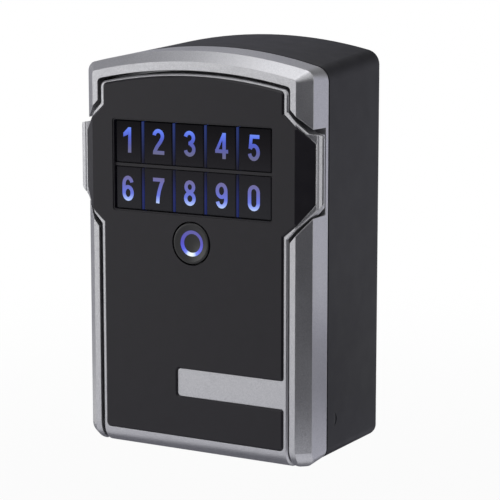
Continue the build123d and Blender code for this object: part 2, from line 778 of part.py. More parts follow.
def inner_cover():
    outside = rounded(-cover_half_width, cover_half_width, cover_low, cover_high, 4.0)
    tray = slab(outside, cover_front, cover_back)
    tray = fillet(tray.faces().sort_by(Axis.Y)[-1].edges(), 0.8)
    inner_half_width = cover_half_width - 1.5
    inner_low = cover_low + cover_wall
    inner_high = cover_high - cover_wall
    inner = rounded(-inner_half_width, inner_half_width, inner_low, inner_high, 2.5)
    tray -= slab(inner, 0.0, cover_back - cover_wall)
    slot = (bolt_left - 0.4, bolt_right + 0.4, bolt_front - 0.4, bolt_back + 0.4)
    tray -= block(*slot, 108.0, 112.0)
    tray += block(box_left, box_right, box_front, box_back, box_low, box_high)
    hollow_left = box_left + cover_wall
    hollow_right = box_right - cover_wall
    hollow_low = box_low + cover_wall
    hollow_high = box_high - cover_wall
    tray -= block(hollow_left, hollow_right, box_front + 1.4, 30.0, hollow_low, hollow_high)
    rail_low = box_back + lid_thickness + 0.2
    rail_top = rail_low + 0.9
    for edge, inward in ((box_left, 1), (box_right, -1)):
        wall = sorted((edge, edge + inward * (cover_wall - 0.1)))
        tray += block(wall[0], wall[1], box_back - 0.5, rail_top, box_low, box_high)
        lip = sorted((edge, edge + inward * (cover_wall + 1.1)))
        tray += block(lip[0], lip[1], rail_low, rail_top, box_low, box_high)
    tray += block(box_left, box_right, 23.0, rail_top, box_low - 1.1, box_low + 0.4)
    for x, z in cover_screw_places:
        tray -= rod_y(small_screw + 0.15, 20.0, 25.0, x, z)
    for z in (gear_z - 7.4, gear_z + 6.2):
        tray += block(-28.6, -14.5, 15.0, cover_back - cover_wall + 0.3, z, z + 1.2)
    return tray


def inner_cover_screws():
    screws = [screw(x, z, cover_back, 8.5, -1) for x, z in cover_screw_places]
    return Compound(children=screws)


def battery_cover():
    left = box_left + cover_wall + 0.15
    right = box_right - cover_wall - 0.15
    outer_y = box_back + lid_thickness
    lid = block(left, right, box_back + 0.1, outer_y, box_low + 0.5, box_high - 0.2)
    for rib in range(4):
        z = 24.0 + 2.2 * rib
        lid += block(-7.0, 5.0, outer_y - 0.1, outer_y + 0.6, z, z + 0.9)
    return lid


def battery():
    left = battery_x - battery_length / 2
    cell = rod_x(battery_radius, left, left + battery_length - 1.0, battery_y, battery_z)
    cell = fillet(cell.edges().filter_by(GeomType.CIRCLE), 0.6)
    return cell + rod_x(3.0, left + battery_length - 1.1, left + battery_length, battery_y, battery_z)


def battery_contacts():
    left = box_left + cover_wall
    right = box_right - cover_wall
    cell_left = battery_x - battery_length / 2
    cell_right = battery_x + battery_length / 2
    plate_size = (battery_y - 5.5, battery_y + 5.5, battery_z - 4.5, battery_z + 4.5)
    plus = block(right - 0.4, right, *plate_size)
    plus += rod_x(2.2, cell_right + 0.02, right - 0.2, battery_y, battery_z)
    minus = block(left, left + 0.4, *plate_size)
    foot_x = left + 0.3
    touch_x = cell_left - 0.02
    behind_x = cell_left - 0.5
    leaf = [
        (foot_x, battery_y - 5.2),
        (touch_x, battery_y - 0.6),
        (touch_x, battery_y + 0.6),
        (foot_x, battery_y + 5.2),
        (foot_x, battery_y + 4.4),
        (behind_x, battery_y + 0.2),
        (behind_x, battery_y - 0.2),
        (foot_x, battery_y - 4.4),
    ]
    minus += prism_z(leaf, battery_z - 2.5, battery_z + 2.5)
    return Compound(children=[plus, minus])


def jump_contact_block():
    holder = block(-11.0, 11.0, 4.4, 9.0, foot_z + 0.5, foot_z + 2.55)
    for x in jump_pad_x:
        holder -= Pos(x, jump_pad_y, (jump_pad_low + jump_pad_high) / 2) * Cylinder(2.0, 5.0)
    return holder


def jump_contacts():
    height = jump_pad_high - jump_pad_low
    middle = (jump_pad_low + jump_pad_high) / 2
    return Compound(children=[Pos(x, jump_pad_y, middle) * Cylinder(1.95, height) for x in jump_pad_x])


os.makedirs("parts", exist_ok=True)
for old in os.listdir("parts"):
    if old.endswith(".step"):
        os.remove(os.path.join("parts", old))

pieces = {
    "rear_case": rear_case(),
    "front_frame": front_frame(),
    "frame_screws": frame_screws(),
    "strike_plate": strike_plate(),
    "strike_screws": strike_screws(),
    "hinge_pins": hinge_pins(),
    "door_seal": door_seal(),
    "door_bezel": door_bezel(),
    "face_panel": face_panel(),
    "keypad_light_guide": keypad_light_guide(),
    "circuit_board": circuit_board(),
    "key_switches": key_switches(),
    "light_emitters": light_emitters(),
    "board_screws": board_screws(),
    "latch_motor": latch_motor(),
    "motor_gearbox": motor_gearbox(),
    "drive_pinion": drive_pinion(),
    "output_shaft": output_shaft(),
    "latch_bolt": latch_bolt(),
    "latch_guide": latch_guide(),
    "inner_cover": inner_cover(),
    "inner_cover_screws": inner_cover_screws(),
    "battery_cover": battery_cover(),
    "battery": battery(),
    "battery_contacts": battery_contacts(),
    "jump_contact_block": jump_contact_block(),
    "jump_contacts": jump_contacts(),
    "unlock_button": unlock_button(),
    "button_light_ring": button_light_ring(),
}
for number in range(10):
    column = (number - 1) % 5
    row_z = upper_row_z if 1 <= number <= 5 else lower_row_z
    pieces["key_" + str(number)] = key(column, row_z)

for node, shape in pieces.items():
    save(shape, node)
print(len(pieces), "nodes; pinion pitch radius", pitch_radius, "mm")
print("key column", key_pitch, "mm wide, key", round(key_height, 2), "mm high")
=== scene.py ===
# %% [markdown]
# # A wall key box, dressed for its picture
# The CAD model already has every solid piece of the box at its real size: the cast case, the
# silver frame, the door with its keys and button, and the latch behind it. This lesson gives
# those pieces their finishes, prints the glowing digits on the keys, and sets up the camera and
# the light. We work in metres, in the CAD model's own axes: x runs across the box, y goes back to
# the wall at 0, and z goes up. The origin is the middle of the four wall holes.

# %% Load the frame
import math

import bmesh
import bpy
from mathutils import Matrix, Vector
from mathutils.geometry import delaunay_2d_cdt


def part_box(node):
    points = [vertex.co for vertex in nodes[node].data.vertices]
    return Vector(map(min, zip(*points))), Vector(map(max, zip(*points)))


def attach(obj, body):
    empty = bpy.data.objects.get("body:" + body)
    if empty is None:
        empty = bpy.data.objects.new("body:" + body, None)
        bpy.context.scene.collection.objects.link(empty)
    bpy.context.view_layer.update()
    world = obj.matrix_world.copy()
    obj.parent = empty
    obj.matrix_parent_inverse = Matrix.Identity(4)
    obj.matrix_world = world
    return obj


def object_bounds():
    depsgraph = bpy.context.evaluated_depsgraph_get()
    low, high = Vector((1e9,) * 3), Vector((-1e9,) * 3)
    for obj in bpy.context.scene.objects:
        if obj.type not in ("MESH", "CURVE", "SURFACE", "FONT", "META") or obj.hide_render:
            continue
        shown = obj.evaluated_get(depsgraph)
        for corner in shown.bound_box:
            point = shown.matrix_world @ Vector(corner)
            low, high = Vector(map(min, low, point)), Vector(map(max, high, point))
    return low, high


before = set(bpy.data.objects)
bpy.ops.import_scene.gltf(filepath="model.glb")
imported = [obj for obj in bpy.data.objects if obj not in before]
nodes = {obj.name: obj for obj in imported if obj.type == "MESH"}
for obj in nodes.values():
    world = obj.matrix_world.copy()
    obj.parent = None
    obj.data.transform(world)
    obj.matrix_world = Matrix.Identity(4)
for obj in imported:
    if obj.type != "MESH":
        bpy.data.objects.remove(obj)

cad_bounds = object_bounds()
MM = 0.001
print("nodes in the frame:", len(nodes))
corners_in_mm = [[round(value / MM, 1) for value in corner] for corner in cad_bounds]
print("box of the CAD model in mm:", corners_in_mm)

# %% [markdown]
# ## The camera
# The photo was taken from the right and from slightly above, with a long lens, so the front keeps
# nearly parallel edges. A camera can be placed by eye or worked out from known sizes. Here it is
# worked out: the front is 83 mm wide, with 127 mm between its upper and lower edge lines, and
# these angles and this distance put its edges where the photo has them.

# %% Place the camera
CAMERA_AZIMUTH = math.radians(30.06)
CAMERA_ELEVATION = math.radians(9.314)
CAMERA_DISTANCE = 0.6244
PICTURE_CENTRE = Vector((0.021385, -0.055, 0.001536))
# In millimetres, as Blender's camera has them.
SENSOR_WIDTH = 36.0
LENS = 145.24
CLIP_START = 0.01


def direction(azimuth, elevation):
    """The unit vector that points from the box towards an azimuth and an elevation, in radians."""
    level = math.cos(elevation)
    return Vector((math.sin(azimuth) * level, -math.cos(azimuth) * level, math.sin(elevation)))


scene = bpy.context.scene
camera = bpy.data.objects.new("camera", bpy.data.cameras.new("camera"))
scene.collection.objects.link(camera)
towards_camera = direction(CAMERA_AZIMUTH, CAMERA_ELEVATION)
camera.location = PICTURE_CENTRE + towards_camera * CAMERA_DISTANCE
camera.rotation_mode = "QUATERNION"
camera.rotation_quaternion = (-towards_camera).to_track_quat("-Z", "Y")
camera.data.sensor_width = SENSOR_WIDTH
camera.data.lens = LENS
camera.data.clip_start = CLIP_START
scene.camera = camera
scene.view_settings.view_transform = "Standard"
print("camera at", [round(value, 4) for value in camera.location])

# %% [markdown]
# ## Nodes by name
# A material is a small network. A few helpers keep the rest of the lesson short: one adds a node
# and fills its inputs, three more add the kinds that are used most, and the last one opens a
# reusable node group with named sockets. Colours are written as they look on a screen, from 0 to
# 255, and turned into the linear numbers that shaders use.

# %% Helpers for shader nodes
# Where the Mix node keeps its first input, its second input and its output.
MIX_SOCKETS = {"FLOAT": (2, 3, 0), "RGBA": (6, 7, 2)}
WHITE = (1.0, 1.0, 1.0, 1.0)


def screen(red, green, blue):
    """A colour as a screen shows it, 0 to 255, as linear red, green, blue and alpha. The numbers
    are those of the sRGB curve."""
    linear = []
    for value in (red, green, blue):
        part = value / 255
        linear.append(part / 12.92 if part <= 0.04045 else ((part + 0.055) / 1.055) ** 2.4)
    return (*linear, 1.0)


def add_node(tree, kind, inputs=None, **settings):
    """Adds a node. An input is filled with a plain value or linked to another node's output."""
    node = tree.nodes.new(kind)
    for name, value in settings.items():
        setattr(node, name, value)
    for name, value in (inputs or {}).items():
        if isinstance(value, bpy.types.NodeSocket):
            tree.links.new(value, node.inputs[name])
        else:
            node.inputs[name].default_value = value
    return node


def math_node(tree, operation, first, second, clamp=False):
    """One sum, product or power, and its result."""
    fields = {0: first, 1: second}
    node = add_node(tree, "ShaderNodeMath", fields, operation=operation, use_clamp=clamp)
    return node.outputs[0]


def vector_node(tree, operation, first, second=(0.0, 0.0, 0.0), output="Vector"):
    """One sum or product of vectors, and its result."""
    node = add_node(tree, "ShaderNodeVectorMath", {0: first, 1: second}, operation=operation)
    return node.outputs[output]


def map_range(tree, value, low, high, to_low=0.0, to_high=1.0, kind="LINEAR"):
    """A value between low and high as one between to_low and to_high, held at its ends."""
    fields = {
        "Value": value, "From Min": low, "From Max": high, "To Min": to_low, "To Max": to_high,
    }
    return add_node(tree, "ShaderNodeMapRange", fields, interpolation_type=kind).outputs["Result"]


def new_group(name, inputs, outputs):
    """An empty shader node group with named sockets, and its input and output sockets."""
    group = bpy.data.node_groups.new(name, "ShaderNodeTree")
    for label, value in inputs.items():
        vector = isinstance(value, tuple)
        kind = "NodeSocketVector" if vector else "NodeSocketFloat"
        socket = group.interface.new_socket(label, in_out="INPUT", socket_type=kind)
        socket.default_value = value
    for label, kind in outputs.items():
        group.interface.new_socket(label, in_out="OUTPUT", socket_type="NodeSocket" + kind)
    start = group.nodes.new("NodeGroupInput")
    end = group.nodes.new("NodeGroupOutput")
    return group, start.outputs, end.inputs


print("a mid grey of 128 is", round(screen(128, 128, 128)[0], 3), "in linear light")

# %% [markdown]
# ## Shared effects as node groups
# Paint, plastic and metal on this box share a few things: edges that are slightly rounded and
# lightened as a painted highlight, a fine grain, lines from drawing or grinding, and a trace of
# dust on what faces up. Each is one node group with named inputs, so that every material can use
# it at its own scale. Every group reads the object's own coordinates, so the pattern stays on the
# piece when it moves.

# %% Effect: rounded edges with a painted highlight
# A normal rounded over a right angle is up to 45 degrees off, and this makes the mask 1 there.
RIGHT_ANGLE_TURN = 3.4
PATCH_NOISE = (0.35, 0.65)
LEAST_EDGE_LIGHT = 0.35


def make_rounded_highlit_edges():
    """The Bevel node looks a little way round and gives a rounded normal. Where that differs from
    the true one there is an edge, and a noise breaks the edge up into patches. The mask lightens
    these patches as a painted highlight."""
    group, given, result = new_group(
        "rounded_highlit_edges",
        {"Reach": 0.3 * MM, "Amount": 0.5, "Patch": 4 * MM},
        {"Mask": "Float", "Normal": "Vector"},
    )
    bevel = add_node(group, "ShaderNodeBevel", {"Radius": given["Reach"]}, samples=4)
    true_normal = add_node(group, "ShaderNodeNewGeometry").outputs["Normal"]
    same = vector_node(group, "DOT_PRODUCT", bevel.outputs["Normal"], true_normal, "Value")
    turned = math_node(group, "SUBTRACT", 1.0, same)
    edge = math_node(group, "MULTIPLY", turned, RIGHT_ANGLE_TURN, clamp=True)
    place = add_node(group, "ShaderNodeTexCoord").outputs["Object"]
    scale = math_node(group, "DIVIDE", 1.0, given["Patch"])
    noise = add_node(group, "ShaderNodeTexNoise", {"Vector": place, "Scale": scale, "Detail": 3.0})
    patches = map_range(group, noise.outputs["Fac"], *PATCH_NOISE, LEAST_EDGE_LIGHT, 1.0)
    lightened_edge = math_node(group, "MULTIPLY", edge, patches)
    group.links.new(math_node(group, "MULTIPLY", lightened_edge, given["Amount"]), result["Mask"])
    group.links.new(bevel.outputs["Normal"], result["Normal"])
    return group


rounded_highlit_edges = make_rounded_highlit_edges()
print("group:", rounded_highlit_edges.name)

# %% Effect: metal flakes in paint
MIDDLE_OF_RANDOM = (0.5, 0.5, 0.5)


def make_paint_flakes():
    """Each cell of a Voronoi pattern is one flake, with its own brightness and a small tilt."""
    group, given, result = new_group(
        "paint_flakes",
        {"Flake": 0.2 * MM, "Tilt": 0.1, "Normal": (0.0, 0.0, 1.0)},
        {"Tone": "Float", "Normal": "Vector"},
    )
    place = add_node(group, "ShaderNodeTexCoord").outputs["Object"]
    scale = math_node(group, "DIVIDE", 1.0, given["Flake"])
    cells = add_node(group, "ShaderNodeTexVoronoi", {"Vector": place, "Scale": scale})
    lean = vector_node(group, "SUBTRACT", cells.outputs["Color"], MIDDLE_OF_RANDOM)
    fields = {0: lean, "Scale": given["Tilt"]}
    tilt = add_node(group, "ShaderNodeVectorMath", fields, operation="SCALE").outputs["Vector"]
    leaning = vector_node(group, "ADD", given["Normal"], tilt)
    tone = add_node(group, "ShaderNodeSeparateColor", {"Color": cells.outputs["Color"]})
    group.links.new(tone.outputs["Red"], result["Tone"])
    group.links.new(vector_node(group, "NORMALIZE", leaning), result["Normal"])
    return group


paint_flakes = make_paint_flakes()
print("group:", paint_flakes.name)

# %% Effect: grain and clouds
# The clouds are 25 times as large as the grain, and a noise seldom leaves this range.
CLOUD_STEP = 0.04
NOISE_RANGE = (0.3, 0.7)


def make_surface_grain():
    """A fine noise for the height of the grain, and a far larger one for slow changes of tone."""
    group, given, result = new_group(
        "surface_grain", {"Size": 0.2 * MM}, {"Height": "Float", "Cloud": "Float"}
    )
    place = add_node(group, "ShaderNodeTexCoord").outputs["Object"]
    scale = math_node(group, "DIVIDE", 1.0, given["Size"])
    fine = add_node(group, "ShaderNodeTexNoise", {"Vector": place, "Scale": scale, "Detail": 2.0})
    slow_scale = math_node(group, "MULTIPLY", scale, CLOUD_STEP)
    fields = {"Vector": place, "Scale": slow_scale, "Detail": 4.0}
    slow = add_node(group, "ShaderNodeTexNoise", fields)
    group.links.new(fine.outputs["Fac"], result["Height"])
    group.links.new(map_range(group, slow.outputs["Fac"], *NOISE_RANGE), result["Cloud"])
    return group


surface_grain = make_surface_grain()
print("group:", surface_grain.name)

# %% Effect: drawn and ground lines


def make_drawn_lines():
    """A noise squeezed along one axis, so that its spots become the fine lines of drawn or ground
    metal. Squeeze holds how many lines there are to a metre along each axis."""
    group, given, result = new_group(
        "drawn_lines", {"Squeeze": (4000.0, 4000.0, 120.0)}, {"Height": "Float"}
    )
    place = add_node(group, "ShaderNodeTexCoord").outputs["Object"]
    squeezed = vector_node(group, "MULTIPLY", place, given["Squeeze"])
    lines = add_node(group, "ShaderNodeTexNoise", {"Vector": squeezed, "Scale": 1.0, "Detail": 3.0})
    group.links.new(lines.outputs["Fac"], result["Height"])
    return group


drawn_lines = make_drawn_lines()
print("group:", drawn_lines.name)

# %% Effect: settled dust
DUST_SLOPE = (0.2, 1.0)
DUST_NOISE = (0.3, 0.75)


def make_settled_dust():
    """Dust lies on what faces up, thinly and unevenly."""
    group, given, result = new_group(
        "settled_dust", {"Amount": 0.1, "Size": 3 * MM}, {"Mask": "Float"}
    )
    from_piece = add_node(group, "ShaderNodeTexCoord").outputs
    upward = add_node(group, "ShaderNodeSeparateXYZ", {0: from_piece["Normal"]}).outputs["Z"]
    facing_up = map_range(group, upward, *DUST_SLOPE, kind="SMOOTHSTEP")
    scale = math_node(group, "DIVIDE", 1.0, given["Size"])
    fields = {"Vector": from_piece["Object"], "Scale": scale, "Detail": 5.0}
    noise = add_node(group, "ShaderNodeTexNoise", fields)
    uneven = map_range(group, noise.outputs["Fac"], *DUST_NOISE)
    lying = math_node(group, "MULTIPLY", facing_up, uneven)
    group.links.new(math_node(group, "MULTIPLY", lying, given["Amount"]), result["Mask"])
    return group


settled_dust = make_settled_dust()
print("group:", settled_dust.name)

# %% Effect: how high a point is


def make_height_fraction():
    """0 at the lower height and 1 at the upper one, for what fades up or down a piece."""
    group, given, result = new_group(
        "height_fraction", {"Low": 0.0, "High": 1.0}, {"Fraction": "Float"}
    )
    place = add_node(group, "ShaderNodeTexCoord").outputs["Object"]
    height = add_node(group, "ShaderNodeSeparateXYZ", {0: place}).outputs["Z"]
    group.links.new(map_range(group, height, given["Low"], given["High"]), result["Fraction"])
    return group


height_fraction = make_height_fraction()
print("group:", height_fraction.name)

# %% [markdown]
# ## A finish, step by step
# A real finish is laid on in steps: the raw piece, its texture, its colour, then wear and dust.
# The class below works much the same way, except that its edge step lightens edges as a painted
# highlight rather than as wear. It starts with one Principled shader, and each method lays one
# more effect over what is there. Numbers that are the same all over a surface are set straight on
# the shader.

# %% The class that builds a finish
EDGE_PATCH = 4 * MM
DUST_GREY = screen(150, 148, 144)
DUST_SIZE = 3 * MM
DUST_ROUGHNESS = 0.8


class Finish:
    """A material under way, named after the slot of the pieces that get it."""

    def __init__(self, slot, colour, roughness, **sockets):
        self.material = bpy.data.materials.new(slot)
        self.material.use_nodes = True
        self.tree = self.material.node_tree
        self.shader = self.tree.nodes["Principled BSDF"]
        constants = {"Base Color": colour, "Roughness": roughness, **sockets}
        for name, value in constants.items():
            self.shader.inputs[name.replace("_", " ")].default_value = value

    def feed(self, name, output):
        """Links another node's output to one of the shader's inputs."""
        self.tree.links.new(output, self.shader.inputs[name])
        return self

    def now(self, name):
        """What feeds one of the shader's inputs at present: a link or a constant."""
        socket = self.shader.inputs[name]
        if socket.is_linked:
            return socket.links[0].from_socket
        value = socket.default_value
        return value if isinstance(value, float) else tuple(value)

    def effect(self, group, **values):
        """Places a shared effect in this material with its own values and returns its outputs."""
        return add_node(self.tree, "ShaderNodeGroup", values, node_tree=group).outputs

    def blend(self, name, mask, other):
        """Moves an input of the shader towards another colour or number where the mask is 1."""
        kind = "RGBA" if "Color" in name else "FLOAT"
        first, second, output = MIX_SOCKETS[kind]
        fields = {0: mask, first: self.now(name), second: other}
        node = add_node(self.tree, "ShaderNodeMix", fields, data_type=kind)
        return self.feed(name, node.outputs[output])

    def relief(self, height, depth):
        """Raises the surface by a height pattern, depth metres at most."""
        fields = {"Height": height, "Distance": depth, "Strength": 1.0}
        if self.shader.inputs["Normal"].is_linked:
            fields["Normal"] = self.now("Normal")
        bump = add_node(self.tree, "ShaderNodeBump", fields)
        return self.feed("Normal", bump.outputs["Normal"])

    def edges(self, colour, reach, amount):
        """Rounds the edges a little and lightens them towards another colour, as a painted
        highlight.
        """
        edge = self.effect(rounded_highlit_edges, Reach=reach, Amount=amount, Patch=EDGE_PATCH)
        self.feed("Normal", edge["Normal"])
        return self.blend("Base Color", edge["Mask"], colour)

    def grain(self, size, depth, cloud_colour, rough):
        """Adds a fine grain and slow clouds of another tone and another roughness."""
        grain = self.effect(surface_grain, Size=size)
        self.blend("Base Color", grain["Cloud"], cloud_colour)
        self.blend("Roughness", grain["Cloud"], rough)
        return self.relief(grain["Height"], depth)

    def dust(self, amount):
        """Lays a little dust on what faces up."""
        mask = self.effect(settled_dust, Amount=amount, Size=DUST_SIZE)["Mask"]
        self.blend("Base Color", mask, DUST_GREY)
        return self.blend("Roughness", mask, DUST_ROUGHNESS)

    def lines(self, squeeze, depth, rough_low, rough_high):
        """Adds drawn or ground lines."""
        height = self.effect(drawn_lines, Squeeze=squeeze)["Height"]
        rough = map_range(self.tree, height, *NOISE_RANGE, rough_low, rough_high)
        self.feed("Roughness", rough)
        return self.relief(height, depth)


print("a finish starts from one shader and takes effects one at a time")

# %% [markdown]
# ## Satin charcoal paint on the case
# The rear case is die-cast zinc under a charcoal satin paint. Close up such paint has a very fine
# orange peel, lighter edges, partly where it lies thinner and partly a painted highlight, and slow
# changes of tone. We keep the paint nearly black, with a weak and wide gloss, because that is what
# makes the flat sides look soft grey instead of mirror-like.

# %% Finish the case
case_paint = Finish("case_paint", screen(24, 24, 29), 0.5, Specular_IOR_Level=0.18)
# The paler edge colour is thinner paint and also a painted highlight.
case_paint.edges(screen(56, 56, 62), reach=0.35 * MM, amount=0.5)
case_paint.grain(0.25 * MM, 0.006 * MM, screen(28, 28, 33), rough=0.56)
case_paint.dust(0.03)
print("finish:", case_paint.material.name)

# %% [markdown]
# ## Silver paint on the frame and the door
# Silver paint is clear lacquer full of tiny aluminium flakes. From a step away it reads as soft
# metal with a fine salt-and-pepper grain. A smooth metal shader would look like polished steel,
# so each flake gets its own brightness and tilt, and the roughness stays high.

# %% Finish the frame and the door
SILVER = screen(186, 186, 189)
SILVER_DARK_FLAKE = screen(166, 166, 170)
# The pale tone along the edges is a painted highlight.
SILVER_EDGE_HIGHLIGHT = screen(234, 234, 236)
SILVER_ROUGHNESS = 0.36
SILVER_CLOUD_ROUGHNESS = 0.42


def silver_paint(slot):
    """The same paint on two castings."""
    paint = Finish(slot, SILVER, SILVER_ROUGHNESS, Metallic=0.92, Specular_IOR_Level=0.5)
    # The edge mask lightens the edges as a painted highlight.
    edge = paint.effect(rounded_highlit_edges, Reach=0.28 * MM, Amount=0.35, Patch=6 * MM)
    flakes = paint.effect(paint_flakes, Flake=0.17 * MM, Tilt=0.12, Normal=edge["Normal"])
    paint.feed("Normal", flakes["Normal"])
    paint.blend("Base Color", flakes["Tone"], SILVER_DARK_FLAKE)
    paint.blend("Base Color", edge["Mask"], SILVER_EDGE_HIGHLIGHT)
    clouds = paint.effect(surface_grain, Size=0.5 * MM)
    paint.blend("Roughness", clouds["Cloud"], SILVER_CLOUD_ROUGHNESS)
    paint.relief(clouds["Height"], 0.003 * MM)
    return paint


frame_silver = silver_paint("frame_silver")
door_silver = silver_paint("door_silver")
print("finishes:", frame_silver.material.name, door_silver.material.name)

# %% [markdown]
# ## The black face
# The face is moulded plastic with a fine satin skin. It is darker than the case and shows no
# flakes, only a soft grain. The button is the same plastic, polished a little more, so its dish
# catches the light.

# %% Finish the face and the button
face_black = Finish("face_black", screen(22, 20, 26), 0.42, Specular_IOR_Level=0.28)
# The lighter edge colours are a painted highlight.
face_black.edges(screen(64, 64, 68), reach=0.12 * MM, amount=0.3)
face_black.grain(0.16 * MM, 0.003 * MM, screen(25, 23, 29), rough=0.47)

button_black = Finish("button_black", screen(22, 22, 24), 0.3, Specular_IOR_Level=0.35)
button_black.edges(screen(60, 60, 64), reach=0.12 * MM, amount=0.3)
button_black.grain(0.2 * MM, 0.002 * MM, screen(25, 25, 27), rough=0.34)
print("finishes:", face_black.material.name, button_black.material.name)

# %% [markdown]
# ## Keys with painted shade towards the top
# The keys lie just under the face and look darkest along the window's upper edge, where that
# edge shades them. A fade with height in the base colour paints this shade on all ten keys with
# one material, because every key reads its own place in the box.

# %% Finish the keys
KEYS_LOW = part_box("key_6")[0].z
KEYS_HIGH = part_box("key_1")[1].z
# Painted shade: the keys' colour darkens towards the window's upper edge.
KEY_PAINTED_SHADE = {
    0.0: (46, 46, 50), 0.45: (38, 37, 41), 0.55: (36, 35, 39), 0.8: (24, 22, 26),
    0.97: (15, 14, 18),
}


def colour_ramp(tree, fraction, stops):
    """A colour for each of a few fractions, mixed between them."""
    ramp = add_node(tree, "ShaderNodeValToRGB", {"Fac": fraction})
    elements = ramp.color_ramp.elements
    elements[0].position, elements[1].position = min(stops), max(stops)
    for position in sorted(stops)[1:-1]:
        elements.new(position)
    for element, position in zip(elements, sorted(stops)):
        element.color = screen(*stops[position])
    return ramp.outputs["Color"]


key_black = Finish("key_black", screen(30, 30, 32), 0.4, Specular_IOR_Level=0.05)
rise = key_black.effect(height_fraction, Low=KEYS_LOW, High=KEYS_HIGH)["Fraction"]
key_black.feed("Base Color", colour_ramp(key_black.tree, rise, KEY_PAINTED_SHADE))
key_grain = key_black.effect(surface_grain, Size=0.18 * MM)
key_black.relief(key_grain["Height"], 0.002 * MM)
print("keys fade between", round(KEYS_LOW / MM, 1), "and", round(KEYS_HIGH / MM, 1), "mm")

# %% [markdown]
# ## Light that fades along the digits and the column lines
# Small lamps behind the keypad light the digits from one end, so the upper digits are brightest
# at their tops and the lower ones at their feet. Emission with a colour ramp over the height does
# that. The thin clear lines between the columns are lit by the same lamps, only far weaker.

# %% Finish what glows on the keypad
DIGIT_FADE = {
    0.09: (206, 226, 255), 0.13: (159, 180, 250), 0.19: (105, 120, 222), 0.27: (104, 109, 191),
    0.37: (111, 107, 157), 0.64: (104, 104, 139), 0.72: (90, 94, 163), 0.8: (80, 95, 200),
    0.88: (97, 125, 240), 0.93: (119, 152, 245),
}
LINE_FADE = {
    0.0: (24, 34, 84), 0.2: (28, 36, 94), 0.45: (18, 20, 40), 0.55: (20, 20, 36),
    0.9: (34, 48, 102),
}


def lit(slot, stops, low, high, base):
    """A finish whose emission follows the height between low and high."""
    finish = Finish(slot, base, 0.4, Specular_IOR_Level=0.1, Emission_Strength=1.0)
    fraction = finish.effect(height_fraction, Low=low, High=high)["Fraction"]
    finish.feed("Emission Color", colour_ramp(finish.tree, fraction, stops))
    grain = finish.effect(surface_grain, Size=0.3 * MM)
    finish.relief(grain["Height"], 0.002 * MM)
    return finish


digit_glow = lit("digit_glow", DIGIT_FADE, KEYS_LOW, KEYS_HIGH, screen(8, 8, 14))
light_guide = lit("blue_light_guide", LINE_FADE, KEYS_LOW, KEYS_HIGH, screen(8, 8, 16))
print("glowing finishes:", digit_glow.material.name, light_guide.material.name)

# %% [markdown]
# ## The light ring in the button
# One lamp sits under the ring's lowest point, so the ring is white there and fades to violet blue
# round the sides. The fade is by angle: the direction from the ring's centre, compared with
# straight down.

# %% Finish the light ring
ring_low, ring_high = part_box("button_light_ring")
RING_CENTRE = (ring_low + ring_high) / 2
TOWARDS_LAMP = Vector((-0.1, 0.0, -0.995))
RING_FADE = {
    0.0: (84, 80, 158), 0.5: (72, 68, 184), 0.8: (78, 84, 218), 0.93: (112, 130, 240),
    0.975: (206, 226, 255), 1.0: (244, 250, 255),
}

light_ring = Finish("blue_light_ring", screen(10, 10, 20), 0.35, Emission_Strength=1.0)
tree = light_ring.tree
place = add_node(tree, "ShaderNodeTexCoord").outputs["Object"]
outward = vector_node(tree, "SUBTRACT", place, tuple(RING_CENTRE))
flat = vector_node(tree, "MULTIPLY", outward, (1.0, 0.0, 1.0))
heading = vector_node(tree, "NORMALIZE", flat)
nearness = vector_node(tree, "DOT_PRODUCT", heading, tuple(TOWARDS_LAMP), "Value")
turn = map_range(tree, nearness, -1.0, 1.0)
light_ring.feed("Emission Color", colour_ramp(tree, turn, RING_FADE))
ring_grain = light_ring.effect(surface_grain, Size=0.3 * MM)
light_ring.relief(ring_grain["Height"], 0.002 * MM)
print("ring centre in mm:", [round(value / MM, 1) for value in RING_CENTRE])

# %% [markdown]
# ## Bare metals behind the door
# The screws are zinc plated, the pins, plate and bolt are ground or drawn steel, and the gearbox
# and its pinion are brass. What tells these apart is their colour and the direction and depth of
# their lines.

# %% Finish the metals
LINES_UP = (4200.0, 4200.0, 150.0)
LINES_ACROSS = (150.0, 4200.0, 4200.0)
LINE_DEPTH = 0.004 * MM
CLOUD_SHADE = 0.88


def bare_metal(slot, colour, edge_highlight, squeeze, rough):
    """Metal with lines along one axis, and a painted highlight at its edges."""
    metal = Finish(slot, screen(*colour), sum(rough) / 2, Metallic=1.0)
    metal.edges(screen(*edge_highlight), reach=0.15 * MM, amount=0.6)
    clouds = metal.effect(surface_grain, Size=0.6 * MM)["Cloud"]
    metal.blend("Base Color", clouds, screen(*(round(value * CLOUD_SHADE) for value in colour)))
    return metal.lines(squeeze, LINE_DEPTH, *rough)


metals = [
    bare_metal("zinc_screw", (176, 178, 184), (214, 214, 216), LINES_UP, (0.26, 0.4)),
    bare_metal("plain_steel", (172, 172, 172), (208, 208, 208), LINES_ACROSS, (0.22, 0.38)),
    bare_metal("dome_steel", (196, 194, 188), (226, 226, 224), LINES_ACROSS, (0.16, 0.26)),
    bare_metal("motor_steel", (188, 188, 190), (220, 220, 222), LINES_ACROSS, (0.24, 0.38)),
    bare_metal("gearbox_brass", (196, 164, 96), (224, 198, 140), LINES_UP, (0.26, 0.42)),
    bare_metal("pinion_brass", (204, 170, 92), (230, 204, 140), LINES_ACROSS, (0.2, 0.34)),
    bare_metal("bolt_steel", (180, 180, 180), (216, 216, 216), LINES_UP, (0.2, 0.36)),
    bare_metal("guide_steel", (166, 168, 170), (206, 206, 208), LINES_UP, (0.28, 0.42)),
    bare_metal("contact_nickel", (192, 190, 182), (224, 222, 214), LINES_UP, (0.18, 0.3)),
]
print("metals:", len(metals))

